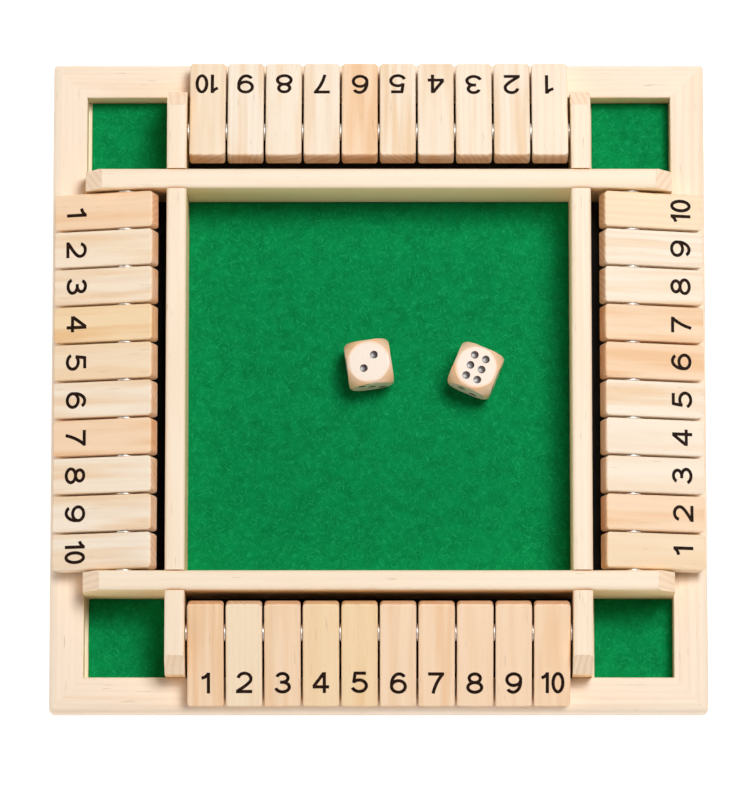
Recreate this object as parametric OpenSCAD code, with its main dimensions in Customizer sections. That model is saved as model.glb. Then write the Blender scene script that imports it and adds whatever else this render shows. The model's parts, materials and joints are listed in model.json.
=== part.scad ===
// Shut the box for four players: a shallow square wooden tray crossed by four divider bars,
// with a row of numbered tiles on each side that turns over on a steel rod, and two dice.
// The tray lies on its underside, centred on the origin, +Z up and +Y towards the north row.
// Every length is in millimetres. A side is drawn as the north one and turned into its place.

/* [Tiles] */
// Number tiles in each of the four rows
tiles_per_row = 10; // [9:1:10]
// Width of one tile along its rod
tile_w = 15.6; // [13:0.1:19]
// Thickness of a tile
tile_t = 9.4; // [7:0.2:10.6]
// How far a tile reaches behind its rod, towards the divider bar
tile_tail = 13.2; // [11:0.1:16]
// How far the tile's numbered end would stop short of the frame's outer edge, if it lay level
tile_back = 1.4; // [0.8:0.1:3]
// Rounding of a tile's four corners, seen on its numbered face
tile_corner_r = 1.8; // [1:0.1:3]
// Rounding of the edges of a tile's two faces
tile_edge_r = 1; // [0.5:0.1:2]
// Slack left at each end of a row, beside its last washer
row_slack = 0.15; // [0.1:0.05:1]

/* [Rods and washers] */
// Diameter of the steel rod that a row turns on
rod_d = 2; // [1.5:0.1:3]
// Radial play of a tile's bore around the rod
rod_play = 0.1; // [0.05:0.01:0.1]
// Depth to which a rod's end is let into a divider bar
rod_seat = 5; // [3:0.5:6]
// Distance of the rod's axis below the top of the bars
rod_drop = 8.25; // [7:0.25:11]
// Bevel turned on each end of a rod
rod_bevel = 0.3; // [0.1:0.05:0.5]
// Diameter of the spacer washers between the tiles
washer_d = 7.5; // [6:0.25:8.5]
// Thickness of a spacer washer
washer_t = 0.75; // [0.5:0.05:1.2]
// Play on each face of a washer
washer_play = 0.1; // [0.1:0.025:0.3]
// Width of the bevel that thins a washer towards its rim
washer_bevel = 0.9; // [0.5:0.1:1.8]
// Thickness left at the rim of a washer
washer_rim_t = 0.45; // [0.2:0.05:0.5]

/* [Divider bars] */
// Width of a divider bar
bar_w = 8.6; // [7:0.2:12]
// How far the bars stand above the frame
bar_rise = 21.5; // [18:0.5:24]
// Rounding of the bars' top edges
bar_edge_r = 2; // [1:0.25:3]
// Length of the chamfer on top of a bar's end
bar_end_run = 7.5; // [4:0.5:12]
// Height of the chamfer on top of a bar's end
bar_end_drop = 9.5; // [5:0.5:14]
// Play in the halving joints where the bars cross
halving_play = 0.15; // [0.05:0.05:0.4]

/* [Frame] */
// Width of the frame's rails, seen from above
rail_w = 15; // [12:0.5:20]
// Height of the frame
frame_h = 15.5; // [14:0.5:20]
// Rounding of the frame's outer top edge
frame_edge_r = 4; // [2:0.5:5]
// Rounding of the frame's inner top edge
frame_inner_r = 0.8; // [0.3:0.1:1.5]
// Rounding of the frame's lower outer edge
frame_foot_r = 1; // [0.5:0.1:2]
// Rounding of the frame's four upright corners
frame_corner_r = 2; // [0.5:0.5:4]
// Clearance between a turning tile's tail and the frame
tail_wall_gap = 4; // [1:0.25:8]
// Clearance between a turning tile's tail and its divider bar
tail_bar_gap = 3.5; // [2.5:0.25:8]
// Gap left under a tile's end where it lies on the frame
seat_gap = 0.15; // [0.1:0.01:0.3]

/* [Base and felt] */
// Thickness of the base board, which is flush with the frame's underside
base_t = 3; // [2:0.25:5]
// Width of the rebate in the rails that holds the board
rebate_w = 5; // [3:0.5:8]
// Play around the base board in its rebate
base_play = 0.2; // [0.1:0.05:0.5]
// Thickness of the felt
felt_t = 1; // [0.6:0.1:2]
// Play around the felt in the tray
felt_play = 0.25; // [0.1:0.05:1]
// How far the corner felts are cut short of the west side of their wells
felt_short = 1.6; // [0.3:0.1:3]

/* [Dice] */
// Width of a die across its faces
die_w = 19.5; // [14:0.5:22]
// Radius of the ball that rounds the die's corners
die_ball_r = 13.3; // [10.5:0.1:16]
// Rounding of the die's edges
die_edge_r = 1.7; // [0.5:0.1:2.5]
// Diameter of a pip at the face of the die
pip_d = 3.4; // [2:0.1:3.7]
// Depth of a pip
pip_depth = 1; // [0.4:0.1:1.4]
// Distance of the pips from the middle line on the faces of two and six
pip_near = 2.6; // [2.2:0.05:3.2]
// Distance of the outer pips from the middle line on the faces of three, four and five
pip_far = 4.5; // [3.7:0.1:4.8]
// Distance between neighbouring pips in the two threes of a six
pip_row_step = 4.8; // [3.8:0.1:5]
// Place of the left die on the felt, east and north of the middle
die_left_at = [-4.3, 9.3];
// Turn of the left die about its upright axis, in degrees
die_left_turn = 8.5; // [-45:0.5:45]
// Place of the right die on the felt, east and north of the middle
die_right_at = [42.2, 6.7];
// Turn of the right die about its upright axis, in degrees
die_right_turn = -22.9; // [-45:0.1:45]

/* [Hidden] */
// Heights
bar_top = frame_h + bar_rise;
rod_z = bar_top - rod_drop;
felt_top = base_t + felt_t;
halving_z = (base_t + bar_top) / 2;

// The row of tiles sets the width of the tray
tile_gap = washer_t + 2 * washer_play;
tile_pitch = tile_w + tile_gap;
tray_w = tiles_per_row * tile_pitch + tile_gap + 2 * row_slack;
bar_y = (tray_w + bar_w) / 2;

// The tail of a turning tile sweeps a circle about the rod, and the bay leaves room for it
tail_sweep = norm([tile_tail, tile_t / 2]);
rod_y = tray_w / 2 + bar_w + tail_sweep + tail_bar_gap;
wall_y = rod_y + tail_sweep + tail_wall_gap;
frame_y = wall_y + rail_w;
tile_reach = frame_y - tile_back - rod_y;
tile_len = tile_tail + tile_reach;

// A tile leans down until the rounding of its lower end rests on the frame. The middle of that
// rounding lies this far out from the rod and below the tile's middle, while the tile is level.
foot_out = tile_reach - tile_edge_r;
foot_down = tile_t / 2 - tile_edge_r;
foot_drop = rod_z - frame_h - tile_edge_r - seat_gap;
tile_lean = asin(foot_drop / norm([foot_out, foot_down])) - atan2(foot_down, foot_out);

// Fit of a bore over the rod
bore_d = rod_d + 2 * rod_play;

// A pip is cut by a ball that leaves the wanted width and depth
pip_ball_r = (pow(pip_d / 2, 2) + pow(pip_depth, 2)) / (2 * pip_depth);

// Overshoot of cutting shapes, and the fineness of curves
over = 1;
curve_fn = 48;
ball_fn = 96;

SIDES = ["north", "east", "south", "west"];

function tile_name(side, number) = str(side, "_tile_", number < 10 ? "0" : "", number);

// The stock that a rounding takes off a corner at the origin, with the solid to the lower left
module corner_waste(radius) {
    translate([-radius, -radius]) difference() {
        square(radius + over);
        circle(radius, $fn = curve_fn);
    }
}

// A rectangle about the origin with all four corners rounded
module eased_rectangle(wide, high, radius) {
    difference() {
        square([wide, high], center = true);
        for (across = [0, 1], up = [0, 1]) {
            mirror([across, 0]) mirror([0, up]) translate([wide / 2, high / 2]) corner_waste(radius);
        }
    }
}

// A block about the origin with every edge rounded, as the meeting of three rounded prisms. The four
// upright edges have the corner radius, and the edges of its top and underside have the edge radius.
module eased_block(size, corner_radius, edge_radius) {
    intersection() {
        linear_extrude(size[2], center = true) eased_rectangle(size[0], size[1], corner_radius);
        rotate([90, 0, 0]) linear_extrude(size[1], center = true) eased_rectangle(size[0], size[2], edge_radius);
        rotate([90, 0, 90]) linear_extrude(size[0], center = true) eased_rectangle(size[1], size[2], edge_radius);
    }
}

// A profile drawn as distance outwards against height, carried along the east to west direction
module along_side(length) {
    rotate([90, 0, 90]) linear_extrude(length, center = true) children();
}

// Turns what is drawn for the north side to the side with this index, clockwise from north
module on_side(index) {
    rotate(-90 * index) children();
}

// Section of a rail, from its inner wall outwards, with the rebate for the base board
module rail_profile() {
    difference() {
        square([rail_w, frame_h]);
        translate([rail_w, frame_h]) corner_waste(frame_edge_r);
        translate([0, frame_h]) mirror([1, 0]) corner_waste(frame_inner_r);
        translate([rail_w, 0]) mirror([0, 1]) corner_waste(frame_foot_r);
        translate([-over, -over]) square([rebate_w + over, base_t + over]);
    }
}

// One side of the frame, mitred at both ends
module rail() {
    color("#f8e3c8") intersection() {
        translate([0, wall_y, 0]) along_side(2 * frame_y) rail_profile();
        linear_extrude(frame_h) intersection() {
            eased_rectangle(2 * frame_y, 2 * frame_y, frame_corner_r);
            polygon([[0, 0], [frame_y, frame_y], [-frame_y, frame_y]]);
        }
    }
}

// Board that closes the tray from below, let into the rails
module base_board() {
    board_w = 2 * (wall_y + rebate_w - base_play);
    color("#efd9b6") translate([0, 0, base_t / 2]) cube([board_w, board_w, base_t], center = true);
}

// Felt of the dice tray
module tray_felt() {
    felt_w = tray_w - 2 * felt_play;
    color("#087d43") translate([0, 0, base_t + felt_t / 2]) cube([felt_w, felt_w, felt_t], center = true);
}

// Felts of the four corner wells, each cut short on its west side
module corner_felts() {
    well_low = tray_w / 2 + bar_w;
    well_w = wall_y - well_low;
    color("#087d43") for (east = [-1, 1], north = [-1, 1]) {
        translate([east * (well_low + well_w / 2) + (felt_short - felt_play) / 2, north * (well_low + well_w / 2), 0])
            translate([0, 0, base_t + felt_t / 2])
                cube([well_w - felt_short - felt_play, well_w - 2 * felt_play, felt_t], center = true);
    }
}

// Divider bar with chamfered ends, two halving joints and a blind hole for a rod at each end.
// The north and south bars lie over the other two, so they are halved from below.
module divider_bar(lies_over) {
    notch_w = bar_w + 2 * halving_play;
    notch_h = bar_top - halving_z + halving_play;
    color("#fae6cd") difference() {
        intersection() {
            translate([0, bar_y, 0]) along_side(2 * wall_y) difference() {
                translate([-bar_w / 2, base_t]) square([bar_w, bar_top - base_t]);
                for (across = [0, 1]) {
                    mirror([across, 0]) translate([bar_w / 2, bar_top]) corner_waste(bar_edge_r);
                }
            }
            translate([0, bar_y, 0]) rotate([90, 0, 0]) linear_extrude(bar_w + over, center = true) polygon([
                [-wall_y, 0], [wall_y, 0], [wall_y, bar_top - bar_end_drop], [wall_y - bar_end_run, bar_top],
                [bar_end_run - wall_y, bar_top], [-wall_y, bar_top - bar_end_drop]
            ]);
        }
        for (end = [-1, 1]) {
            translate([end * bar_y, bar_y, lies_over ? halving_z - notch_h : halving_z - halving_play / 2])
                translate([-notch_w / 2, -notch_w / 2, 0]) cube([notch_w, notch_w, notch_h + halving_play / 2]);
            translate([end * rod_y, tray_w / 2 - over, rod_z])
                rotate([-90, 0, 0]) cylinder(h = rod_seat + over, d = rod_d, $fn = curve_fn);
        }
    }
}

// Steel rod that carries one row, bevelled at its ends
module rod() {
    length = tray_w + 2 * rod_seat;
    color("silver") translate([-length / 2, rod_y, rod_z]) rotate([0, 90, 0]) {
        translate([0, 0, rod_bevel]) cylinder(h = length - 2 * rod_bevel, d = rod_d, $fn = curve_fn);
        cylinder(h = rod_bevel, d1 = rod_d - 2 * rod_bevel, d2 = rod_d, $fn = curve_fn);
        translate([0, 0, length - rod_bevel])
            cylinder(h = rod_bevel, d1 = rod_d, d2 = rod_d - 2 * rod_bevel, $fn = curve_fn);
    }
}

// Washers on the rod of one row, one in each gap between the tiles and one at each end
module row_of_washers() {
    for (gap = [0:tiles_per_row]) {
        translate([(gap - tiles_per_row / 2) * tile_pitch, rod_y, rod_z]) rotate([0, 90, 0])
            rotate_extrude($fn = curve_fn) polygon([
                [bore_d / 2, -washer_t / 2],
                [washer_d / 2 - washer_bevel, -washer_t / 2],
                [washer_d / 2, -washer_rim_t / 2],
                [washer_d / 2, washer_rim_t / 2],
                [washer_d / 2 - washer_bevel, washer_t / 2],
                [bore_d / 2, washer_t / 2]
            ]);
    }
}

// All the washers of the game
module spacer_washers() {
    color("gainsboro") for (index = [0:3]) on_side(index) row_of_washers();
}

// Tile with this number in the north row, leaning on the frame. Number 1 is the easternmost.
module tile(number) {
    tile_x = ((tiles_per_row + 1) / 2 - number) * tile_pitch;
    color("#f6dfbf") translate([tile_x, rod_y, rod_z]) rotate([-tile_lean, 0, 0]) difference() {
        translate([0, (tile_reach - tile_tail) / 2, 0])
            eased_block([tile_w, tile_len, tile_t], tile_corner_r, tile_edge_r);
        rotate([0, 90, 0]) cylinder(h = tile_w + over, d = bore_d, center = true, $fn = curve_fn);
    }
}

// Places of the pips on a face, for each value from 1 to 6
PIP_PLACES = [
    [[0, 0]],
    [[-pip_near, -pip_near], [pip_near, pip_near]],
    [[-pip_far, pip_far], [0, 0], [pip_far, -pip_far]],
    [for (across = [-1, 1], up = [-1, 1]) [across * pip_far, up * pip_far]],
    [for (across = [-1, 1], up = [-1, 1]) [across * pip_far, up * pip_far], [0, 0]],
    [for (across = [-1, 1], up = [-1, 0, 1]) [across * pip_near, up * pip_row_step]]
];

// The turn that takes a die's top face to the face of each value: 2 on top, 3 south and 1 east
FACE_TURNS = [[90, 0, 90], [0, 0, 0], [90, 0, 0], [90, 0, 180], [180, 0, 0], [90, 0, -90]];

// A die about its centre, with opposite faces adding up to seven
module die() {
    color("#f7e2c6") difference() {
        intersection() {
            eased_block([die_w, die_w, die_w], die_edge_r, die_edge_r);
            sphere(r = die_ball_r, $fn = ball_fn);
        }
        for (value = [1:6]) rotate(FACE_TURNS[value - 1]) {
            for (place = PIP_PLACES[value - 1]) {
                translate([place[0], place[1], die_w / 2 + pip_ball_r - pip_depth])
                    sphere(r = pip_ball_r, $fn = curve_fn);
            }
        }
    }
}

// Left die, lying with its two up
module die_left() {
    translate([die_left_at[0], die_left_at[1], felt_top + die_w / 2]) rotate(die_left_turn) die();
}

// Right die, rolled onto the face opposite its six
module die_right() {
    translate([die_right_at[0], die_right_at[1], felt_top + die_w / 2]) rotate(die_right_turn)
        rotate([90, 90, 0]) die();
}

for (index = [0:3]) {
    on_side(index) rail();
    on_side(index) divider_bar(index % 2 == 0);
    on_side(index) rod();
    for (number = [1:tiles_per_row]) {
        on_side(index) tile(number);
    }
}
base_board();
tray_felt();
corner_felts();
spacer_washers();
die_left();
die_right();
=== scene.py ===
"""Finish of a four-player shut the box game: wood, felt, metal, printed numbers, painted pips and stage."""

import json
import math

import bpy
import numpy as np
from mathutils import Matrix, Vector


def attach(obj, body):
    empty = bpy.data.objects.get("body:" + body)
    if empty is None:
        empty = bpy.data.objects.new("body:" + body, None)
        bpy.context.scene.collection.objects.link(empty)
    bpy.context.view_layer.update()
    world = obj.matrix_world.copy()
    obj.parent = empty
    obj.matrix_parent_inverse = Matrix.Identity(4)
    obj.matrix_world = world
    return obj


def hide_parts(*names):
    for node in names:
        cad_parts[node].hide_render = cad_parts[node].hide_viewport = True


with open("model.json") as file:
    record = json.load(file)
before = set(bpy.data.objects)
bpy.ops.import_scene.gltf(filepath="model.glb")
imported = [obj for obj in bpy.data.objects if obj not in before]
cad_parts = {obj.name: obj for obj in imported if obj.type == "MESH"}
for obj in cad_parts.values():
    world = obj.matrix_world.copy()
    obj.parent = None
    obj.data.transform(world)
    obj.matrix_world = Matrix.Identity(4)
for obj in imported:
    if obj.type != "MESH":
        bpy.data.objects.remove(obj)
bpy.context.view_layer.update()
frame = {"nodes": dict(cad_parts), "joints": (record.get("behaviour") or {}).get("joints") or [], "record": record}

bl_info = {
    "name": "Shut the Box Game",
    "version": (1, 0, 0),
    "blender": (4, 5, 0),
    "location": "3D View > Sidebar > Shut the Box",
    "description": "Dresses a wooden shut the box game and sets it on a studio floor",
    "category": "Object",
}

MM = 0.001
SEED = 7
SIDES = ("north", "east", "south", "west")
NODES = frame["nodes"]
JOINTS = {joint["child"]: joint for joint in frame["joints"]}
SLOTS = {part["node"]: part["material_slot"] for part in frame["record"]["subparts"]}

# Tiles whose wood lies between two tones, with their share of the second: cream for a darker tile, else amber
SHARES = {"north_tile_10": 0.7, "east_tile_10": 0.4, "east_tile_01": 0.4, "west_tile_05": 0.5,
          "south_tile_02": 0.5, "west_tile_02": 0.25, "west_tile_03": 0.25}

# Sockets of the Mix node when it mixes colours
MIX, FIRST, SECOND, MIXED = 0, 6, 7, 2

# The view of the photograph, 748 by 800 pixels: the camera looks down at a point just above the tray
IMAGE_WIDTH = 748
SENSOR_WIDTH = 36.0
FOCAL_PIXELS = 5761.9
CAMERA_AIM = Vector((-2.07, -7.14, 20.0)) * MM
CAMERA_DISTANCE = 2.5
CAMERA_TILT = math.radians(8.63)
CAMERA_PAN = math.radians(0.03)

# The stage, in metres: a soft box, and light from the walls that has faded out where a direction's height is
# SKY_TOP of its length, and is stronger the more a direction follows SKY_LEAN
KEY_PLACE = (0.6, 0.6, 2.0)
KEY_SIZE = 0.85
SKY_TOP = 0.7
SKY_LEAN = (-0.6, -0.6, 0.0)
FLOOR_HALF = 4.0
FLOOR_DROP = 0.2 * MM


def srgb(code):
    """Linear RGBA of an sRGB hex colour."""
    parts = [int(code[i:i + 2], 16) / 255 for i in (0, 2, 4)]
    linear = [c / 12.92 if c <= 0.04045 else ((c + 0.055) / 1.055) ** 2.4 for c in parts]
    return (*linear, 1.0)


def colour(name, description, code):
    """A colour setting with its default."""
    return bpy.props.FloatVectorProperty(
        name=name, description=description, subtype="COLOR", size=4, min=0, max=1, default=srgb(code))


def length(name, description, millimetres):
    """A length setting with its default, given in millimetres."""
    return bpy.props.FloatProperty(
        name=name, description=description, unit="LENGTH", precision=5, min=0, default=millimetres * MM)


class BoxWoodSettings(bpy.types.PropertyGroup):
    """Colours of the wooden pieces, and where the dice are singed."""

    frame_pine: colour("Frame pine", "Sanded pine of the frame rails", "FEE8D0")
    bar_pine: colour("Bar pine", "Sanded pine of the divider bars", "FCE8CF")
    base_ply: colour("Base plywood", "Bare plywood under the felt", "F0E3C6")
    # Painted shade: this near-black colour stands in for the deep shade of the bays under the rows
    bay_painted_shade: colour("Bay shade", "Near-black painted shade of the base under the rows of tiles", "0F0A07")
    cream_pine: colour("Cream tiles", "Palest of the tiles' three tones", "FBEAD5")
    amber_pine: colour("Amber tiles", "Resin-rich tiles", "F8D8AC")
    rose_pine: colour("Rose tiles", "Pinkish tiles", "FAD8B5")
    heartwood: colour("Heartwood", "Tint of the warm bands between the pale ones", "F3DCBD")
    latewood: colour("Latewood", "Dark side of each growth ring", "DDB384")
    end_grain: colour("End grain", "Tint of the ends, which soak up light", "FFCE9C")
    # Painted shade: a warm tint on the bars' upright sides, standing in for the light bounced onto them
    upright_painted_shade: colour("Upright side shade", "Tint of the divider bars' upright sides", "FFEFC2")
    fleck: colour("Flecks", "Short grey-brown resin lines", "B08A66")
    dice_beech: colour("Dice beech", "Flat faces of the dice", "F6E3D1")
    dice_singed: colour("Singed corners", "Tumbled corners of the dice", "FFB873")
    singed_from: length("Singed from", "From a die's middle to where the tan begins", 13.2)
    singed_full: length("Fully singed", "From a die's middle to where the tan is full", 14.7)


class BoxDetailSettings(bpy.types.PropertyGroup):
    """Sizes and colours of the felt, the numbers, the pips and the metal."""

    felt_green: colour("Felt", "Dyed wool of the felt", "018648")
    felt_light: colour("Felt fibres", "Fibres that lie on top", "18A560")
    felt_shadow: colour("Felt depths", "Between the fibres", "006030")
    felt_cell: length("Felt cell", "Spacing of the felt's mesh", 0.75)
    felt_nap: length("Felt nap", "How far the felt's surface sinks between its fibres", 0.16)
    felt_edge: length("Felt edge", "Rounding of the felt's cut edge", 0.3)
    ink: colour("Number ink", "Screen-printed numbers", "1E0D07")
    ink_thin: colour("Thin ink", "Ink where the screen left little", "452A1B")
    number_height: length("Number height", "Overall height of a number", 9.4)
    number_stroke: length("Number stroke", "Width of a number's lines", 1.42)
    number_from_end: length("Number place", "From a tile's outer end to the number's middle", 10.5)
    number_slip: length("Number slip", "How far a number may be printed off its place", 0.25)
    ink_film: length("Ink film", "Height of the ink above the wood", 0.03)
    pip_paint: colour("Pip paint", "Gloss paint in the dice's pips", "2E1B13")
    paint_sag: length("Paint sag", "Depth of the paint's hollow surface in a pip", 0.2)
    steel: colour("Rod steel", "Drawn steel of the rods", "C9C9C7")
    plating: colour("Washer plating", "Bright plating of the washers", "F4F3F0")


class BoxStageSettings(bpy.types.PropertyGroup):
    """Light and floor."""

    key_watts: bpy.props.FloatProperty(
        name="Key light", description="Power of the soft box, high to the upper right", default=41.5)
    sky: bpy.props.FloatProperty(
        name="Sky", description="Strength of the light from the room's walls, low down", default=1.4)
    floor: colour("Floor", "Matt white floor", "F2F2F2")
    floor_glow: bpy.props.FloatProperty(
        name="Floor glow", description="White that the camera sees on top of the lit floor", default=0.75)


def add(tree, kind, inputs=None, **settings):
    """Adds a shader node with its settings; an input is a value or another node's output socket."""
    node = tree.nodes.new("ShaderNode" + kind)
    for name, value in settings.items():
        setattr(node, name, value)
    for key, value in (inputs or {}).items():
        if isinstance(value, bpy.types.NodeSocket):
            tree.links.new(value, node.inputs[key])
        else:
            node.inputs[key].default_value = value
    return node


def new_material(name):
    """An empty node material, its tree and its shader."""
    material = bpy.data.materials.new(name)
    material.use_nodes = True
    tree = material.node_tree
    tree.nodes.clear()
    shader = add(tree, "BsdfPrincipled")
    add(tree, "OutputMaterial", {"Surface": shader.outputs[0]})
    return material, tree, shader


def finish_node(node, material):
    """Gives a carried-over solid its material."""
    mesh = NODES[node].data
    mesh.materials.clear()
    mesh.materials.append(material)


def points_of(node):
    """All points of a node's mesh, in metres."""
    mesh = NODES[node].data
    points = np.zeros(len(mesh.vertices) * 3)
    mesh.vertices.foreach_get("co", points)
    return points.reshape(-1, 3)


def widest_face_normal(node, towards, least=0.3):
    """Normal of the node's widest flat side that looks towards a direction, with at least that share of it:
    triangles' areas are added up by their rounded normal."""
    mesh = NODES[node].data
    normals = np.zeros(len(mesh.polygons) * 3)
    areas = np.zeros(len(mesh.polygons))
    mesh.polygons.foreach_get("normal", normals)
    mesh.polygons.foreach_get("area", areas)
    normals = normals.reshape(-1, 3)
    facing = normals @ np.array(towards) > least
    kinds, which = np.unique(np.round(normals[facing], 3), axis=0, return_inverse=True)
    totals = np.bincount(which.ravel(), weights=areas[facing], minlength=len(kinds))
    normal = kinds[np.argmax(totals)]
    return normal / np.linalg.norm(normal)


def outward(points, faces):
    """The faces turned so that a closed mesh encloses a positive volume: the sum over its triangles of
    a . (b x c) / 6, each face cut into a fan."""
    volume = 0.0
    for face in faces:
        fan = points[np.array(face)]
        volume += np.einsum("i,ji->", fan[0], np.cross(fan[1:-1], fan[2:]))
    return faces if volume > 0 else [tuple(reversed(face)) for face in faces]


def make_piece(name, shells, material, body):
    """One mesh object from closed shells, each a pair of points in metres and faces, riding on a body."""
    points, faces, start = [], [], 0
    for shell_points, shell_faces in shells:
        points.append(shell_points)
        faces += [tuple(i + start for i in face) for face in outward(shell_points, shell_faces)]
        start += len(shell_points)
    mesh = bpy.data.meshes.new(name)
    mesh.from_pydata(np.concatenate(points).tolist(), [], faces)
    mesh.materials.append(material)
    piece = bpy.data.objects.new(name, mesh)
    bpy.context.scene.collection.objects.link(piece)
    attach(piece, body)
    return piece


def grid_faces(rows, columns, wrap_rows=False, wrap_columns=False):
    """Quads of a grid whose point (row, column) has the number row * columns + column."""
    row, column = np.meshgrid(
        np.arange(rows if wrap_rows else rows - 1), np.arange(columns if wrap_columns else columns - 1),
        indexing="ij")
    next_row, next_column = (row + 1) % rows, (column + 1) % columns
    quads = np.stack([row * columns + column, next_row * columns + column,
                      next_row * columns + next_column, row * columns + next_column], axis=-1)
    return quads.reshape(-1, 4).tolist()


# Wood


def pine(name, base, grain, across, draw, wood, ring_share=0.17, band_share=0.85, end_share=0.3,
         upright_shade_share=0.0):
    """Pine, sawn, fine-sanded and left bare.

    To the eye: a pale satin surface with wide warm bands, thin darker lines where growth rings reach the
    surface, hair-fine fibres along the grain and short resin flecks; end grain is browner, with arcs, and
    upright sides, where asked for, carry a painted warm shade that stands in for the light bounced onto them.
    The pattern is solid, so lines on top run over into arcs on the ends. Rings are cylinders 2.2 to 4 mm
    apart round a pith outside the piece, bent by slow noise. All patterns use millimetres. Each share says
    how much of its tint a ring, a band, an end or a side takes."""
    material, tree, shader = new_material(name)
    up = Vector(grain).cross(Vector(across))
    turn = Matrix((grain, across, up)).to_euler()
    shift = [draw.uniform(-400, 400) for _ in range(3)]
    place = add(tree, "TexCoord")
    millimetres = add(tree, "VectorMath", {0: place.outputs["Object"], "Scale": 1 / MM}, operation="SCALE")
    local = add(tree, "Mapping", {"Vector": millimetres.outputs[0], "Location": shift, "Rotation": turn})
    # Slow bending of the grain, in waves some 55 mm long and 14 mm wide
    slow = add(tree, "VectorMath", {0: local.outputs[0], 1: (0.018, 0.07, 0.07)}, operation="MULTIPLY")
    bend = add(tree, "TexNoise", {"Vector": slow.outputs[0], "Scale": 1.0, "Detail": 2.0, "Roughness": 0.5})
    # Distance from the pith, which lies 20 to 60 mm off in any direction across the grain, bent by a few
    # millimetres
    angle, reach = draw.uniform(0, 2 * math.pi), draw.uniform(20, 60)
    pith = (0.0, shift[1] + reach * math.cos(angle), shift[2] + reach * math.sin(angle))
    from_pith = add(tree, "VectorMath", {0: local.outputs[0], 1: pith}, operation="SUBTRACT")
    flat = add(tree, "VectorMath", {0: from_pith.outputs[0], 1: (0.0, 1.0, 1.0)}, operation="MULTIPLY")
    radius = add(tree, "VectorMath", {0: flat.outputs[0]}, operation="LENGTH")
    bent = add(tree, "Math", {0: bend.outputs[0], 1: draw.uniform(2.5, 5), 2: radius.outputs["Value"]},
               operation="MULTIPLY_ADD")
    spacing = draw.uniform(2.2, 4.0)
    ring = add(tree, "Math", {0: bent.outputs[0], 1: spacing / 2}, operation="PINGPONG")
    late = add(tree, "MapRange", {0: ring.outputs[0], 1: 0.15 * spacing, 2: 0.5 * spacing},
               interpolation_type="SMOOTHSTEP")
    # Warm bands some 6 mm wide
    wide = add(tree, "VectorMath", {0: local.outputs[0], 1: (0.012, 0.17, 0.12)}, operation="MULTIPLY")
    bands = add(tree, "TexNoise", {"Vector": wide.outputs[0], "Scale": 1.0, "Detail": 2.0, "Roughness": 0.45})
    warm_share = band_share * draw.uniform(0.2, 1)
    warm = add(tree, "MapRange", {0: bands.outputs[0], 1: 0.42, 2: 0.68, 4: warm_share},
               interpolation_type="SMOOTHSTEP")
    # Fibres, drawn 0.5 mm wide, which is coarser than real, so that they show
    thin = add(tree, "VectorMath", {0: local.outputs[0], 1: (0.07, 1.9, 1.9)}, operation="MULTIPLY")
    fibre = add(tree, "TexNoise", {"Vector": thin.outputs[0], "Scale": 1.0, "Detail": 3.0, "Roughness": 0.6})
    fibre_tone = add(tree, "MapRange", {0: fibre.outputs[0], 1: 0.25, 2: 0.75, 3: 0.97, 4: 1.02})
    # Resin flecks, under 1 mm wide and 10 mm long, rare
    short = add(tree, "VectorMath", {0: local.outputs[0], 1: (0.1, 1.15, 1.15)}, operation="MULTIPLY")
    resin = add(tree, "TexNoise", {"Vector": short.outputs[0], "Scale": 1.0, "Detail": 1.0, "Roughness": 0.4})
    flecks = add(tree, "MapRange", {0: resin.outputs[0], 1: 0.69, 2: 0.82, 4: draw.uniform(0.15, 0.5)},
                 interpolation_type="SMOOTHSTEP")
    banded = add(tree, "Mix", {MIX: warm.outputs[0], FIRST: base, SECOND: wood.heartwood}, data_type="RGBA",
                 blend_type="MULTIPLY")
    # End grain shows where the surface looks along the grain: it is browner and its arcs are plainer
    facing = add(tree, "VectorMath", {0: place.outputs["Normal"], 1: grain}, operation="DOT_PRODUCT")
    ends = add(tree, "Math", {0: facing.outputs["Value"]}, operation="ABSOLUTE")
    end_grain = add(tree, "MapRange", {0: ends.outputs[0], 1: 0.5, 2: 0.8, 4: end_share},
                    interpolation_type="SMOOTHSTEP")
    ring_part = add(tree, "Math", {0: end_grain.outputs[0], 1: 1.1, 2: ring_share * draw.uniform(0.3, 1.2)},
                    operation="MULTIPLY_ADD")
    ring_mix = add(tree, "Math", {0: late.outputs[0], 1: ring_part.outputs[0]}, operation="MULTIPLY")
    ringed = add(tree, "Mix", {MIX: ring_mix.outputs[0], FIRST: banded.outputs[MIXED], SECOND: wood.latewood},
                 data_type="RGBA")
    flecked = add(tree, "Mix", {MIX: flecks.outputs[0], FIRST: ringed.outputs[MIXED], SECOND: wood.fleck},
                  data_type="RGBA")
    toned = add(tree, "Mix", {MIX: 1.0, FIRST: flecked.outputs[MIXED], SECOND: fibre_tone.outputs[0]},
                data_type="RGBA", blend_type="MULTIPLY")
    ended = add(tree, "Mix", {MIX: end_grain.outputs[0], FIRST: toned.outputs[MIXED], SECOND: wood.end_grain},
                data_type="RGBA", blend_type="MULTIPLY")
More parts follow.
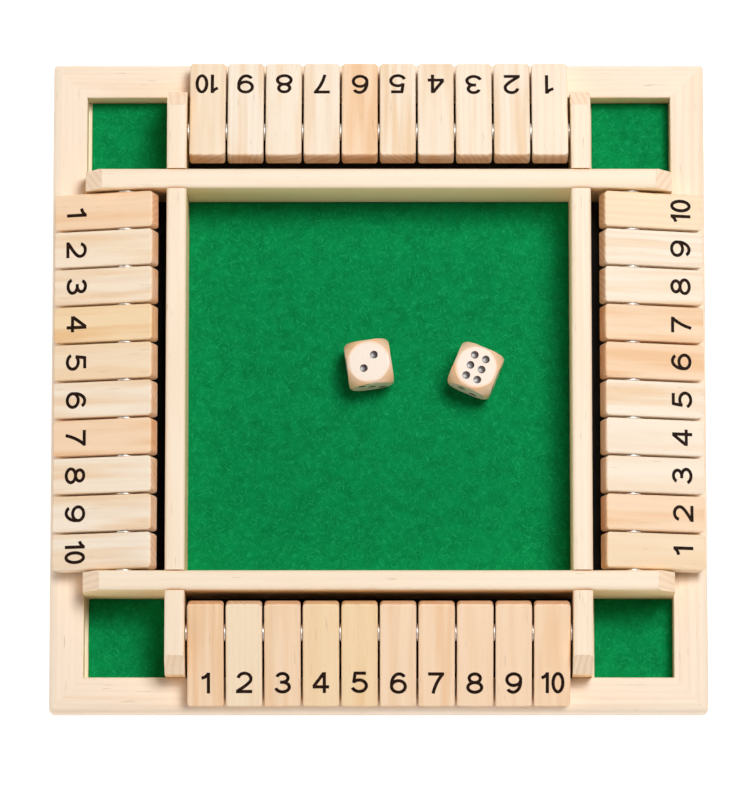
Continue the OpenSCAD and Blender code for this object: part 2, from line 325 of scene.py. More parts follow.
    # Upright sides look level, so their normal has little height; they get a painted warm shade, a yellow tint
    height = add(tree, "VectorMath", {0: place.outputs["Normal"], 1: (0, 0, 1)}, operation="DOT_PRODUCT")
    upright = add(tree, "MapRange", {0: height.outputs["Value"], 1: 0.6, 2: 0.1, 4: upright_shade_share})
    side_shaded = add(tree, "Mix", {MIX: upright.outputs[0], FIRST: ended.outputs[MIXED], SECOND: wood.upright_painted_shade},
                data_type="RGBA", blend_type="MULTIPLY")
    rough = add(tree, "MapRange", {0: fibre.outputs[0], 1: 0.3, 2: 0.7, 3: 0.48, 4: 0.62})
    relief = add(tree, "Bump", {"Strength": 0.5, "Distance": 0.03 * MM, "Height": fibre.outputs[0]})
    tree.links.new(side_shaded.outputs[MIXED], shader.inputs["Base Color"])
    tree.links.new(rough.outputs[0], shader.inputs["Roughness"])
    tree.links.new(relief.outputs[0], shader.inputs["Normal"])
    shader.inputs["IOR"].default_value = 1.5
    shader.inputs["Specular IOR Level"].default_value = 0.35
    return material


def plywood(name, base, wood, inner, outer):
    """Thin birch plywood, peeled and sanded: almost even, with long soft streaks 3 mm wide. Under the rows,
    past one bar's outer side and between the two bars across, it carries painted shade: a near-black colour
    that stands in for the deep shade of the bays."""
    material, tree, shader = new_material(name)
    place = add(tree, "TexCoord")
    sides = add(tree, "VectorMath", {0: place.outputs["Object"]}, operation="ABSOLUTE")
    apart = add(tree, "SeparateXYZ", {0: sides.outputs[0]})
    far = add(tree, "Math", {0: apart.outputs["X"], 1: apart.outputs["Y"]}, operation="MAXIMUM")
    near = add(tree, "Math", {0: apart.outputs["X"], 1: apart.outputs["Y"]}, operation="MINIMUM")
    past_one = add(tree, "Math", {0: far.outputs[0], 1: outer}, operation="GREATER_THAN")
    within_other = add(tree, "Math", {0: near.outputs[0], 1: inner}, operation="LESS_THAN")
    bay = add(tree, "Math", {0: past_one.outputs[0], 1: within_other.outputs[0]}, operation="MULTIPLY")
    stretched = add(tree, "VectorMath", {0: place.outputs["Object"], 1: (300, 25, 300)}, operation="MULTIPLY")
    streak = add(tree, "TexNoise", {"Vector": stretched.outputs[0], "Scale": 1.0, "Detail": 4.0})
    share = add(tree, "MapRange", {0: streak.outputs[0], 1: 0.4, 2: 0.7, 4: 0.35})
    mixed = add(tree, "Mix", {MIX: share.outputs[0], FIRST: base, SECOND: wood.heartwood}, data_type="RGBA",
                blend_type="MULTIPLY")
    relief = add(tree, "Bump", {"Strength": 0.4, "Distance": 0.03 * MM, "Height": streak.outputs[0]})
    # Painted shade: the bays under the rows are coloured near-black, standing in for their deep shade
    bay_shaded = add(tree, "Mix", {MIX: bay.outputs[0], FIRST: mixed.outputs[MIXED], SECOND: wood.bay_painted_shade},
                  data_type="RGBA")
    tree.links.new(bay_shaded.outputs[MIXED], shader.inputs["Base Color"])
    tree.links.new(relief.outputs[0], shader.inputs["Normal"])
    shader.inputs["Roughness"].default_value = 0.62
    return material


class SHUTBOX_OT_frame_and_base(bpy.types.Operator):
    """Dress the mitred frame rails in sanded pine and the base board in plywood"""

    bl_idname = "shutbox.frame_and_base"
    bl_label = "Frame and Base"

    def execute(self, context):
        wood = context.scene.shutbox_wood
        draw = np.random.default_rng(SEED)
        for index, side in enumerate(SIDES):
            grain, across = ((1, 0, 0), (0, 1, 0)) if index % 2 == 0 else ((0, 1, 0), (-1, 0, 0))
            material = pine(f"Sanded pine, {side} rail", wood.frame_pine, grain, across, draw, wood,
                            ring_share=0.12, band_share=0.25)
            finish_node(f"{side}_rail", material)
        across = points_of("north_bar")[:, 1]
        # The base board carries near-black painted shade in the bays under the rows
        finish_node("base_board", plywood("Birch plywood", wood.base_ply, wood, across.min(), across.max()))
        return {"FINISHED"}


class SHUTBOX_OT_divider_bars(bpy.types.Operator):
    """Dress the four cross-halved divider bars in sanded pine"""

    bl_idname = "shutbox.divider_bars"
    bl_label = "Divider Bars"

    def execute(self, context):
        wood = context.scene.shutbox_wood
        draw = np.random.default_rng(SEED + 1)
        for index, side in enumerate(SIDES):
            grain, across = ((1, 0, 0), (0, 1, 0)) if index % 2 == 0 else ((0, 1, 0), (-1, 0, 0))
            # The bars' upright sides carry a painted warm shade
            material = pine(f"Sanded pine, {side} bar", wood.bar_pine, grain, across, draw, wood,
                            ring_share=0.1, band_share=0.25, end_share=0.2, upright_shade_share=0.7)
            finish_node(f"{side}_bar", material)
        return {"FINISHED"}


def tile_frame(tile):
    """A tile's own frame: across its width, outward along its face and square to the face, with the face's
    height and the outer end's place along those directions."""
    joint = JOINTS[tile]
    axis = np.array(joint["axis"], float)
    normal = widest_face_normal(tile, (0, 0, 1))
    out = np.cross(normal, axis)
    points = points_of(tile)
    middle = float(np.array(joint["pos_m"]) @ axis)
    return axis, out, normal, middle, float((points @ out).max()), float((points @ normal).max())


class SHUTBOX_OT_tiles(bpy.types.Operator):
    """Dress the forty number tiles in three tones of sanded pine, each from its own bit of board"""

    bl_idname = "shutbox.tiles"
    bl_label = "Tiles"

    def execute(self, context):
        wood = context.scene.shutbox_wood
        tones = {"tile_wood_cream": wood.cream_pine, "tile_wood_amber": wood.amber_pine,
                 "tile_wood_rose": wood.rose_pine}
        draw = np.random.default_rng(SEED + 2)
        for tile in JOINTS:
            if SLOTS[tile] in tones:
                axis, out = tile_frame(tile)[:2]
                second = wood.amber_pine if SLOTS[tile] == "tile_wood_cream" else wood.cream_pine
                tone = Vector(tones[SLOTS[tile]]).lerp(second, SHARES.get(tile, draw.uniform(0, 0.12)))
                material = pine(f"Sanded pine, {tile}", tone, out, axis, draw, wood)
                finish_node(tile, material)
        return {"FINISHED"}


# Numbers


def arc(x, y, width, height, first, last, points=28):
    """Points of an elliptic arc: centre (x, y), half axes, angles in degrees anticlockwise from the right."""
    angle = np.radians(np.linspace(first, last, points))
    return np.stack([x + width * np.cos(angle), y + height * np.sin(angle)], axis=1)


def curve(start, bend, end, points=14):
    """Points of a parabola from start to end that leaves towards bend: (1-t)^2 a + 2t(1-t) b + t^2 c."""
    t = np.linspace(0, 1, points)[:, None]
    return (1 - t) ** 2 * np.array(start) + 2 * t * (1 - t) * np.array(bend) + t ** 2 * np.array(end)


def line(start, end):
    """The two ends of a straight stroke."""
    return np.array([start, end], float)


def digit_strokes(number):
    """Centre lines of a number's strokes, plain grotesque figures: height 1, drawn about 0.66 wide and then
    widened, origin at the lower left. Each stroke is its points and whether it closes on itself. A 9 is a 6
    turned upside down."""
    widen = {1: 1.03, 10: 0.92}.get(number, 1.18)
    hook = np.concatenate(
        [arc(0.355, 0.76, 0.25, 0.24, 18, 90, 12), arc(0.355, 0.40, 0.34, 0.60, 93, 178, 20)])
    neck = np.concatenate(
        [arc(0.33, 0.70, 0.29, 0.30, 172, -28), curve((0.56, 0.52), (0.42, 0.33), (0.02, 0.04))])
    six = [(arc(0.33, 0.315, 0.315, 0.315, 0, 350, 36), True), (hook, False)]
    figures = {
        1: [(line((0.40, -0.07), (0.40, 1.07)), False),
            (curve((0.38, 1.0), (0.30, 0.83), (0.04, 0.77)), False)],
        2: [(neck, False), (line((-0.06, 0.0), (0.68, 0.0)), False)],
        3: [(np.concatenate([arc(0.31, 0.765, 0.255, 0.235, 168, -88), [[0.20, 0.53]]]), False),
            (arc(0.31, 0.265, 0.31, 0.265, 92, -168), False)],
        4: [(line((0.47, -0.07), (0.47, 1.07)), False), (line((0.45, 1.03), (-0.02, 0.29)), False),
            (line((-0.06, 0.27), (0.69, 0.27)), False)],
        5: [(line((0.06, 1.0), (0.62, 1.0)), False), (line((0.12, 1.0), (0.06, 0.47)), False),
            (arc(0.31, 0.315, 0.325, 0.315, 142, -162), False)],
        6: six,
        7: [(line((-0.03, 1.0), (0.70, 1.0)), False),
            (curve((0.64, 1.0), (0.32, 0.56), (0.20, -0.07)), False)],
        8: [(arc(0.33, 0.765, 0.255, 0.235, 0, 350, 36), True),
            (arc(0.33, 0.265, 0.315, 0.265, 0, 350, 36), True)],
        9: [(np.array([0.66, 1.0]) - stroke, closed) for stroke, closed in six],
        10: [(line((0.32, -0.07), (0.32, 1.07)), False),
             (curve((0.30, 1.0), (0.22, 0.83), (-0.02, 0.77)), False),
             (arc(0.94, 0.5, 0.285, 0.5, 0, 350, 36), True)],
    }
    return [(stroke * (widen, 1), closed) for stroke, closed in figures[number]]


def ribbon(stroke, closed, half_width, low, high):
    """A flat stroke: its centre line moved left and right by half the width along its own normal, at two
    heights, which makes a closed rectangle carried along the line. Columns: along, across, up."""
    if closed:
        tangent = np.roll(stroke, -1, axis=0) - np.roll(stroke, 1, axis=0)
    else:
        tangent = np.gradient(stroke, axis=0)
    tangent /= np.linalg.norm(tangent, axis=1, keepdims=True)
    side = np.stack([-tangent[:, 1], tangent[:, 0]], axis=1) * half_width
    corners = [(stroke + side, low), (stroke + side, high), (stroke - side, high), (stroke - side, low)]
    rings = np.stack([np.column_stack([at, np.full(len(at), height)]) for at, height in corners], axis=1)
    count = len(stroke)
    faces = grid_faces(count, 4, wrap_rows=closed, wrap_columns=True)
    if not closed:
        faces += [[3, 2, 1, 0], [4 * count - 4, 4 * count - 3, 4 * count - 2, 4 * count - 1]]
    return rings.reshape(-1, 3), faces


def printed_ink(name, detail):
    """Screen-printed ink: a thin, nearly matt film, with specks 0.25 mm wide where the screen left less."""
    material, tree, shader = new_material(name)
    place = add(tree, "TexCoord")
    patch = add(tree, "TexNoise", {"Vector": place.outputs["Object"], "Scale": 900.0, "Detail": 3.0})
    speck = add(tree, "TexNoise", {"Vector": place.outputs["Object"], "Scale": 3800.0, "Detail": 1.0})
    both = add(tree, "Math", {0: patch.outputs[0], 1: speck.outputs[0]}, operation="MULTIPLY")
    thin = add(tree, "MapRange", {0: both.outputs[0], 1: 0.22, 2: 0.42, 4: 0.8},
               interpolation_type="SMOOTHSTEP")
    tone = add(tree, "Mix", {MIX: thin.outputs[0], FIRST: detail.ink, SECOND: detail.ink_thin},
               data_type="RGBA")
    relief = add(tree, "Bump", {"Strength": 0.3, "Distance": 0.02 * MM, "Height": speck.outputs[0]})
    tree.links.new(tone.outputs[MIXED], shader.inputs["Base Color"])
    tree.links.new(relief.outputs[0], shader.inputs["Normal"])
    shader.inputs["Roughness"].default_value = 0.6
    shader.inputs["Specular IOR Level"].default_value = 0.1
    return material


class SHUTBOX_OT_numbers(bpy.types.Operator):
    """Print the numbers 1 to 10 on each row's tiles, to be read from the outside"""

    bl_idname = "shutbox.numbers"
    bl_label = "Numbers"

    def execute(self, context):
        detail = context.scene.shutbox_detail
        material = printed_ink("Screen-printed ink", detail)
        draw = np.random.default_rng(SEED + 3)
        scale = detail.number_height - detail.number_stroke
        for tile in JOINTS:
            if not tile.split("_")[-1].isdigit():
                continue
            axis, out, normal, middle, end, face = tile_frame(tile)
            strokes = digit_strokes(int(tile[-2:]))
            reach = np.concatenate([stroke for stroke, _ in strokes])
            centre = np.array([(reach[:, 0].min() + reach[:, 0].max()) / 2, 0.5])
            slip = draw.uniform(-detail.number_slip, detail.number_slip, 2)
            shells = []
            for layer, (stroke, closed) in enumerate(strokes):
                # Each further stroke lies a little higher, so that two that cross share no face
                film = detail.ink_film * (1 + 0.3 * layer)
                flat, faces = ribbon((stroke - centre) * scale, closed, detail.number_stroke / 2, -film, film)
                x = slip[0] + middle - flat[:, :1]
                y = slip[1] + end - detail.number_from_end - flat[:, 1:2]
                shells.append((x * axis + y * out + (face + flat[:, 2:]) * normal, faces))
            make_piece(f"number_{tile}", shells, material, tile)
        return {"FINISHED"}


# Metal


def drawn_steel(name, detail):
    """Bright steel wire, drawn: fine lines run along it, 0.1 mm apart, so that its glint is streaky."""
    material, tree, shader = new_material(name)
    place = add(tree, "TexCoord")
    stretched = add(tree, "VectorMath", {0: place.outputs["Object"], 1: (60, 60, 9000)}, operation="MULTIPLY")
    lines = add(tree, "TexNoise", {"Vector": stretched.outputs[0], "Scale": 1.0, "Detail": 2.0})
    rough = add(tree, "MapRange", {0: lines.outputs[0], 1: 0.3, 2: 0.7, 3: 0.22, 4: 0.4})
    relief = add(tree, "Bump", {"Strength": 0.4, "Distance": 0.01 * MM, "Height": lines.outputs[0]})
    tree.links.new(rough.outputs[0], shader.inputs["Roughness"])
    tree.links.new(relief.outputs[0], shader.inputs["Normal"])
    shader.inputs["Base Color"].default_value = detail.steel
    shader.inputs["Metallic"].default_value = 1.0
    return material


def bright_plating(name, detail):
    """Stamped steel, tumbled and plated with zinc: bright and satin, with a faint ripple some 0.8 mm wide."""
    material, tree, shader = new_material(name)
    place = add(tree, "TexCoord")
    ripple = add(tree, "TexNoise", {"Vector": place.outputs["Object"], "Scale": 1200.0, "Detail": 2.0})
    rough = add(tree, "MapRange", {0: ripple.outputs[0], 1: 0.3, 2: 0.7, 3: 0.45, 4: 0.65})
    relief = add(tree, "Bump", {"Strength": 0.35, "Distance": 0.02 * MM, "Height": ripple.outputs[0]})
    tree.links.new(rough.outputs[0], shader.inputs["Roughness"])
    tree.links.new(relief.outputs[0], shader.inputs["Normal"])
    shader.inputs["Base Color"].default_value = detail.plating
    shader.inputs["Metallic"].default_value = 1.0
    return material


class SHUTBOX_OT_rods_and_washers(bpy.types.Operator):
    """Dress the four steel rods and the washers between the tiles"""

    bl_idname = "shutbox.rods_and_washers"
    bl_label = "Rods and Washers"

    def execute(self, context):
        detail = context.scene.shutbox_detail
        steel = drawn_steel("Drawn steel wire", detail)
        for side in SIDES:
            finish_node(f"{side}_rod", steel)
        finish_node("spacer_washers", bright_plating("Bright zinc plating", detail))
        return {"FINISHED"}


# Felt


def wool_felt(name, detail):
    """Wool felt, milled and dyed: a matt mat of curled fibres that lie every way, lighter on top.

    Fibres are noise stretched eight times along three directions, 0.45 mm wide, which is coarser than a real
    fibre so that tufts of them show, over cloudy patches some 6 mm wide. A faint sheen is the raised nap."""
    material, tree, shader = new_material(name)
    place = add(tree, "TexCoord")
    curl = add(tree, "TexNoise", {"Vector": place.outputs["Object"], "Scale": 260.0, "Detail": 1.0})
    curled = add(tree, "VectorMath", {0: curl.outputs[1], 1: (0.0022, 0.0022, 0), 2: place.outputs["Object"]},
                 operation="MULTIPLY_ADD")
    tufts = None
    for index, angle in enumerate((0.1, 1.15, 2.2)):
        laid = add(tree, "Mapping", {"Vector": curled.outputs[0], "Rotation": (0.0, 0.0, angle),
                                     "Scale": (1.0, 1.0, 1.0), "Location": (0.3 * index, 0.7 * index, 0.0)})
        stretched = add(tree, "VectorMath", {0: laid.outputs[0], 1: (2100, 270, 800)}, operation="MULTIPLY")
        fibre = add(tree, "TexNoise", {"Vector": stretched.outputs[0], "Scale": 1.0, "Detail": 2.0,
                                       "Roughness": 0.55})
        if tufts is None:
            tufts = fibre.outputs[0]
        else:
            tufts = add(tree, "Math", {0: tufts, 1: fibre.outputs[0]}, operation="MAXIMUM").outputs[0]
    cloud = add(tree, "TexNoise", {"Vector": place.outputs["Object"], "Scale": 170.0, "Detail": 4.0})
    deep = add(tree, "MapRange", {0: cloud.outputs[0], 1: 0.62, 2: 0.34, 4: 0.4})
    light = add(tree, "MapRange", {0: tufts, 1: 0.55, 2: 0.73, 4: 0.8}, interpolation_type="SMOOTHSTEP")
    dyed = add(tree, "Mix", {MIX: deep.outputs[0], FIRST: detail.felt_green, SECOND: detail.felt_shadow},
               data_type="RGBA")
    topped = add(tree, "Mix", {MIX: light.outputs[0], FIRST: dyed.outputs[MIXED], SECOND: detail.felt_light},
                 data_type="RGBA")
    relief = add(tree, "Bump", {"Strength": 0.6, "Distance": 0.15 * MM, "Height": tufts})
    tree.links.new(topped.outputs[MIXED], shader.inputs["Base Color"])
    tree.links.new(relief.outputs[0], shader.inputs["Normal"])
    shader.inputs["Roughness"].default_value = 0.95
    shader.inputs["Specular IOR Level"].default_value = 0.1
    shader.inputs["Sheen Weight"].default_value = 0.06
    shader.inputs["Sheen Roughness"].default_value = 0.5
    shader.inputs["Sheen Tint"].default_value = detail.felt_light
    return material


def smooth_noise(rows, columns, cells, draw):
    """Random heights from 0 to 1, blurred over so many cells: the product of their spectrum and a bell's."""
    heights = draw.standard_normal((rows, columns))
    row, column = np.fft.fftfreq(rows)[:, None], np.fft.fftfreq(columns)[None, :]
    bell = np.exp(-2 * (math.pi * cells) ** 2 * (row ** 2 + column ** 2))
    heights = np.fft.ifft2(np.fft.fft2(heights) * bell).real
    return np.clip(0.5 + heights / (4 * heights.std()), 0, 1)


def felt_sheet(low, high, cell, nap, edge, draw):
    """A cut of felt between two corners. Its top is a grid of heights that sinks by the nap times noise, two
    thirds tufts about a cell wide and one third waves of five cells, and falls off in a quarter circle at the
    cut edge. The sides and the flat underside close it."""
    rows, columns = (max(3, int(round((high[i] - low[i]) / cell)) + 1) for i in (0, 1))
    x, y = np.meshgrid(
        np.linspace(low[0], high[0], rows), np.linspace(low[1], high[1], columns), indexing="ij")
    inset = np.minimum.reduce([x - low[0], high[0] - x, y - low[1], high[1] - y])
    fall = edge - np.sqrt(np.maximum(edge ** 2 - np.maximum(edge - inset, 0) ** 2, 0))
    noise = 0.65 * smooth_noise(rows, columns, 1.1, draw) + 0.35 * smooth_noise(rows, columns, 5, draw)
    top = np.stack([x, y, high[2] - fall - nap * noise], axis=-1).reshape(-1, 3)
    number = np.arange(rows * columns).reshape(rows, columns)
    rim = np.concatenate([number[:-1, 0], number[-1, :-1], number[:0:-1, -1], number[0, :0:-1]])
    bottom = top[rim].copy()
    bottom[:, 2] = low[2]
    under = np.arange(len(rim)) + len(top)
    sides = np.stack([rim, under, np.roll(under, -1), np.roll(rim, -1)], axis=1)
    faces = [face[::-1] for face in grid_faces(rows, columns)] + sides.tolist() + [under[::-1].tolist()]
    return np.concatenate([top, bottom]), faces


class SHUTBOX_OT_felts(bpy.types.Operator):
    """Lay the felt in the dice tray and in the four corner wells"""

    bl_idname = "shutbox.felts"
    bl_label = "Felts"

    def execute(self, context):
        detail = context.scene.shutbox_detail
        material = wool_felt("Wool felt", detail)
        draw = np.random.default_rng(SEED + 4)
        cuts = [("tray_felt_cloth", "tray_felt", points_of("tray_felt"))]
        corners = points_of("corner_felts")
        for name, (x, y) in {"north_east": (1, 1), "south_east": (1, -1), "south_west": (-1, -1),
                             "north_west": (-1, 1)}.items():
            inside = (corners[:, 0] * x > 0) & (corners[:, 1] * y > 0)
            cuts.append((f"{name}_felt_cloth", "corner_felts", corners[inside]))
        for name, node, points in cuts:
            low, high = points.min(axis=0), points.max(axis=0)
            shell = felt_sheet(low, high, detail.felt_cell, detail.felt_nap, detail.felt_edge, draw)
            cloth = make_piece(name, [shell], material, "tray")
            cloth.data.shade_smooth()
            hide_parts(node)
        return {"FINISHED"}


# Dice


def tumbled_beech(name, node, draw, wood):
    """Beech, turned to a ball-cornered cube, tumbled smooth and clear-coated: a pale flat face with fine
    rays, and tan where tumbling has singed the corners, in patches some 9 mm wide."""
    material, tree, shader = new_material(name)
    middle = points_of(node)
    middle = (middle.min(axis=0) + middle.max(axis=0)) / 2
    place = add(tree, "TexCoord")
    local = add(tree, "VectorMath", {0: place.outputs["Object"], 1: middle}, operation="SUBTRACT")
    radius = add(tree, "VectorMath", {0: local.outputs[0]}, operation="LENGTH")
    patch = add(tree, "TexNoise", {"Vector": place.outputs["Object"], "Scale": 110.0, "Detail": 2.0,
                                   "Distortion": 0.4})
    worn = add(tree, "Math", {0: patch.outputs[0], 1: 1.6 * MM, 2: radius.outputs["Value"]},
               operation="MULTIPLY_ADD")
    singed = add(tree, "MapRange", {0: worn.outputs[0], 1: wood.singed_from, 2: wood.singed_full, 4: 0.85},
                 interpolation_type="SMOOTHSTEP")
    stretched = add(tree, "VectorMath", {0: place.outputs["Object"], 1: (2600.0, 260.0, 2600.0)},
                    operation="MULTIPLY")
    rays = add(tree, "TexNoise", {"Vector": stretched.outputs[0], "Scale": 1.0, "Detail": 2.0})
    ray_tone = add(tree, "MapRange", {0: rays.outputs[0], 1: 0.3, 2: 0.7, 3: 0.96, 4: 1.02})
    burnt = add(tree, "Mix", {MIX: singed.outputs[0], FIRST: wood.dice_beech, SECOND: wood.dice_singed},
                data_type="RGBA")
    toned = add(tree, "Mix", {MIX: 1.0, FIRST: burnt.outputs[MIXED], SECOND: ray_tone.outputs[0]},
                data_type="RGBA", blend_type="MULTIPLY")
    tree.links.new(toned.outputs[MIXED], shader.inputs["Base Color"])
    shader.inputs["Roughness"].default_value = 0.42
    shader.inputs["Coat Weight"].default_value = 0.12
    shader.inputs["Coat Roughness"].default_value = 0.2
    return material


def gloss_paint(name, detail):
    """Dark brown gloss paint, dropped into each pip: its hollow skin, with a ripple under 1 mm wide, draws a
    broad highlight."""
    material, tree, shader = new_material(name)
    place = add(tree, "TexCoord")
    skin = add(tree, "TexNoise", {"Vector": place.outputs["Object"], "Scale": 1500.0, "Detail": 2.0})
    rough = add(tree, "MapRange", {0: skin.outputs[0], 1: 0.3, 2: 0.7, 3: 0.26, 4: 0.44})
    relief = add(tree, "Bump", {"Strength": 0.3, "Distance": 0.03 * MM, "Height": skin.outputs[0]})
    tree.links.new(rough.outputs[0], shader.inputs["Roughness"])
    tree.links.new(relief.outputs[0], shader.inputs["Normal"])
    shader.inputs["Base Color"].default_value = detail.pip_paint
    shader.inputs["Specular IOR Level"].default_value = 1.0
    return material


def groups_of(points, gap):
    """Splits points into groups whose members follow each other within a gap, one group at a time."""
    left = points
    while len(left):
        inside = np.zeros(len(left), bool)
        inside[0] = True
        count = 0
        while count < inside.sum():
            count = inside.sum()
            apart = np.linalg.norm(left[:, None] - left[inside][None], axis=2).min(axis=1)
            inside = apart < gap
        yield left[inside]
        left = left[~inside]


def pips_of(node, gap=0.6 * MM, flat=0.02 * MM, widest=2.5 * MM):
    """Middle, outward direction, radius and depth of each pip on a die, read from its mesh: on each of six
    flat faces the small rings of points in the face's plane are the rims."""
    points = np.unique(np.round(points_of(node), 7), axis=0)
    middle = (points.min(axis=0) + points.max(axis=0)) / 2
    level = widest_face_normal(node, (1, 0, 0))
    for way in (level, -level, np.cross((0, 0, 1), level), np.cross(level, (0, 0, 1)), (0, 0, 1), (0, 0, -1)):
        way = np.array(way, float)
        height = (points - middle) @ way
        face = height.max()
        rims = points[height > face - flat]
        for rim in groups_of(rims, gap):
            centre = rim.mean(axis=0)
            radius = np.linalg.norm(rim - centre, axis=1).max()
            if radius > widest:
                continue
            aside = np.linalg.norm(np.cross(points - centre, way), axis=1)
            depth = face - height[(aside < radius) & (height > 0)].min()
            yield centre, way, radius, depth


def paint_drop(centre, way, radius, depth, sag, proud=0.008 * MM, below=0.06 * MM, deeper=0.04 * MM,
               narrow=0.97, rings=12, sectors=24):
    """Paint in a pip, turned round its middle, r from 0 to 1. Its top hangs between the rims as
    z = proud - sag (1 - r^2). Its underside lies just inside the wood, a little narrower than the pip:
    z = -(depth + deeper) (1 - r^2) - below."""
    helper = np.array((0.0, 0.0, 1.0)) if abs(way[2]) < 0.5 else np.array((1.0, 0.0, 0.0))
    first = np.cross(helper, way)
    first /= np.linalg.norm(first)
    second = np.cross(way, first)
    reach = np.linspace(0, 1, rings)[1:]
    top = np.column_stack([reach * radius, proud - sag * (1 - reach ** 2)])
    inward = reach[::-1]
    under = np.column_stack([inward * radius * narrow, -(depth + deeper) * (1 - inward ** 2) - below])
    profile = np.concatenate([top, under])
    angle = np.linspace(0, 2 * math.pi, sectors, endpoint=False)
    around = np.cos(angle)[:, None] * first + np.sin(angle)[:, None] * second
    turned = profile[:, None, :1] * around[None] + profile[:, None, 1:] * way
    poles = np.array([way * (proud - sag), -way * (depth + deeper + below)])
    count = len(profile) * sectors
    faces = grid_faces(len(profile), sectors, wrap_columns=True)
    here = np.arange(sectors)
    there = np.roll(here, -1)
    last = count - sectors
    faces += np.stack([np.full(sectors, count), here, there], axis=1).tolist()
    faces += np.stack([np.full(sectors, count + 1), last + there, last + here], axis=1).tolist()
    return np.concatenate([turned.reshape(-1, 3), poles]) + centre, faces


class SHUTBOX_OT_dice(bpy.types.Operator):
    """Dress the two dice in tumbled beech and drop gloss paint into their pips"""

    bl_idname = "shutbox.dice"
    bl_label = "Dice"

    def execute(self, context):
        wood, detail = context.scene.shutbox_wood, context.scene.shutbox_detail
        paint = gloss_paint("Gloss paint", detail)
        draw = np.random.default_rng(SEED + 5)
        for die in ("die_left", "die_right"):
            finish_node(die, tumbled_beech(f"Tumbled beech, {die}", die, draw, wood))
            drops = [paint_drop(*pip, detail.paint_sag) for pip in pips_of(die)]
            if len(drops) != 21:
                raise RuntimeError(f"{die} has {len(drops)} pips, not 21")
            make_piece(f"pips_{die}", drops, paint, die).data.shade_smooth()
        return {"FINISHED"}


# Stage


def studio_floor(name, stage):
    """Matt white paper: it takes light and shadow as paper does, and what the camera, a glint or glass sees
    of it is lifted to white."""
    material, tree, shader = new_material(name)
    rays = add(tree, "LightPath")
    seen = add(tree, "Math", {0: rays.outputs["Is Camera Ray"], 1: rays.outputs["Is Glossy Ray"]},
               operation="MAXIMUM")
    seen_or_through = add(tree, "Math", {0: seen.outputs[0], 1: rays.outputs["Is Transmission Ray"]},
                          operation="MAXIMUM")
    glow = add(tree, "Math", {0: seen_or_through.outputs[0], 1: stage.floor_glow}, operation="MULTIPLY")
    tree.links.new(glow.outputs[0], shader.inputs["Emission Strength"])
    shader.inputs["Emission Color"].default_value = (1.0, 1.0, 1.0, 1.0)
    shader.inputs["Base Color"].default_value = stage.floor
    shader.inputs["Roughness"].default_value = 0.9
    shader.inputs["Specular IOR Level"].default_value = 0.0
    return material


def soft_light(name, place, aim, size, watts):
    """A square soft box at a place, in metres, turned to its aim."""
    lamp = bpy.data.lights.new(name, "AREA")
    lamp.shape = "SQUARE"
    lamp.size = size
    lamp.energy = watts
    light = bpy.data.objects.new(name, lamp)
    light.location = place
    light.rotation_euler = (Vector(aim) - Vector(place)).to_track_quat("-Z", "Y").to_euler()
    bpy.context.scene.collection.objects.link(light)


def photo_camera():
    """The camera of the photograph: it looks along d = (-sin pan cos tilt, sin tilt, -cos pan cos tilt)."""
    lens = bpy.data.cameras.new("Photo camera")
    lens.sensor_fit = "HORIZONTAL"
    lens.sensor_width = SENSOR_WIDTH
    lens.lens = FOCAL_PIXELS / IMAGE_WIDTH * SENSOR_WIDTH
    lens.clip_start = 0.05
    lens.clip_end = 50.0
    look = Vector((-math.sin(CAMERA_PAN) * math.cos(CAMERA_TILT), math.sin(CAMERA_TILT),
                   -math.cos(CAMERA_PAN) * math.cos(CAMERA_TILT)))
    right = look.cross(Vector((0, 1, 0))).normalized()
    camera = bpy.data.objects.new("Photo camera", lens)
    turn = Matrix((right, right.cross(look), -look)).transposed()
    camera.matrix_world = Matrix.Translation(CAMERA_AIM - look * CAMERA_DISTANCE) @ turn.to_4x4()
    bpy.context.scene.collection.objects.link(camera)
    bpy.context.scene.camera = camera


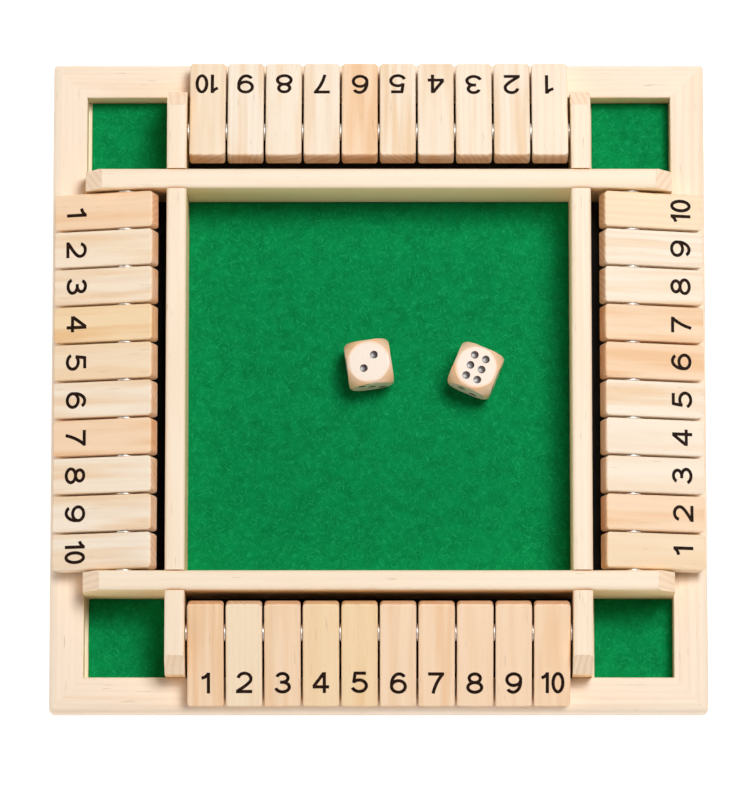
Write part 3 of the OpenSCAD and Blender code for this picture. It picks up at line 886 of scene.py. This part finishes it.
class SHUTBOX_OT_stage(bpy.types.Operator):
    """Set up the camera, the soft light, the light from the walls and the white floor"""

    bl_idname = "shutbox.stage"
    bl_label = "Stage"

    def execute(self, context):
        stage = context.scene.shutbox_stage
        context.scene.view_settings.view_transform = "Standard"
        photo_camera()
        soft_light("Key light", KEY_PLACE, (0, 0, 0), KEY_SIZE, stage.key_watts)
        world = bpy.data.worlds.new("Studio")
        world.use_nodes = True
        tree = world.node_tree
        tree.nodes.clear()
        rays = add(tree, "LightPath")
        place = add(tree, "TexCoord")
        height = add(tree, "SeparateXYZ", {0: place.outputs["Generated"]})
        level = add(tree, "MapRange", {0: height.outputs["Z"], 1: 0.0, 2: SKY_TOP, 3: stage.sky, 4: 0.0})
        lean = add(tree, "VectorMath", {0: place.outputs["Generated"], 1: SKY_LEAN}, operation="DOT_PRODUCT")
        towards = add(tree, "Math", {0: lean.outputs["Value"], 1: 1.0})
        strength = add(tree, "Math", {0: level.outputs[0], 1: towards.outputs[0]}, operation="MULTIPLY")
        even = add(tree, "Background", {"Color": (1.0, 1.0, 1.0, 1.0), "Strength": strength.outputs[0]})
        white = add(tree, "Background", {"Color": (1.0, 1.0, 1.0, 1.0), "Strength": 1.0})
        seen = add(tree, "Math", {0: rays.outputs["Is Camera Ray"], 1: rays.outputs["Is Transmission Ray"]},
                   operation="MAXIMUM")
        both = add(tree, "MixShader", {0: seen.outputs[0], 1: even.outputs[0], 2: white.outputs[0]})
        add(tree, "OutputWorld", {"Surface": both.outputs[0]})
        context.scene.world = world
        mesh = bpy.data.meshes.new("studio_floor")
        corners = [(-FLOOR_HALF, -FLOOR_HALF), (FLOOR_HALF, -FLOOR_HALF), (FLOOR_HALF, FLOOR_HALF),
                   (-FLOOR_HALF, FLOOR_HALF)]
        mesh.from_pydata([(x, y, -FLOOR_DROP) for x, y in corners], [], [(0, 1, 2, 3)])
        mesh.materials.append(studio_floor("White paper", stage))
        floor = bpy.data.objects.new("studio_floor", mesh)
        context.scene.collection.objects.link(floor)
        return {"FINISHED"}


STEPS = (SHUTBOX_OT_stage, SHUTBOX_OT_frame_and_base, SHUTBOX_OT_divider_bars, SHUTBOX_OT_tiles,
         SHUTBOX_OT_numbers, SHUTBOX_OT_rods_and_washers, SHUTBOX_OT_felts, SHUTBOX_OT_dice)


class SHUTBOX_PT_panel(bpy.types.Panel):
    """Lists the steps and the settings in the 3D view's sidebar"""

    bl_label = "Shut the Box"
    bl_idname = "SHUTBOX_PT_panel"
    bl_space_type = "VIEW_3D"
    bl_region_type = "UI"
    bl_category = "Shut the Box"

    def draw(self, context):
        for step in STEPS:
            self.layout.operator(step.bl_idname)
        for group in (context.scene.shutbox_wood, context.scene.shutbox_detail, context.scene.shutbox_stage):
            for setting in group.__annotations__:
                self.layout.prop(group, setting)


CLASSES = (BoxWoodSettings, BoxDetailSettings, BoxStageSettings, *STEPS, SHUTBOX_PT_panel)


def register():
    """Registers the classes and hangs the settings on the scene."""
    for each in CLASSES:
        bpy.utils.register_class(each)
    bpy.types.Scene.shutbox_wood = bpy.props.PointerProperty(type=BoxWoodSettings)
    bpy.types.Scene.shutbox_detail = bpy.props.PointerProperty(type=BoxDetailSettings)
    bpy.types.Scene.shutbox_stage = bpy.props.PointerProperty(type=BoxStageSettings)


def unregister():
    """Takes the settings and the classes away again."""
    del bpy.types.Scene.shutbox_wood
    del bpy.types.Scene.shutbox_detail
    del bpy.types.Scene.shutbox_stage
    for each in reversed(CLASSES):
        bpy.utils.unregister_class(each)


def main():
    """Runs every step."""
    register()
    bpy.ops.shutbox.stage()
    bpy.ops.shutbox.frame_and_base()
    bpy.ops.shutbox.divider_bars()
    bpy.ops.shutbox.tiles()
    bpy.ops.shutbox.numbers()
    bpy.ops.shutbox.rods_and_washers()
    bpy.ops.shutbox.felts()
    bpy.ops.shutbox.dice()


if __name__ == "__main__":
    main()
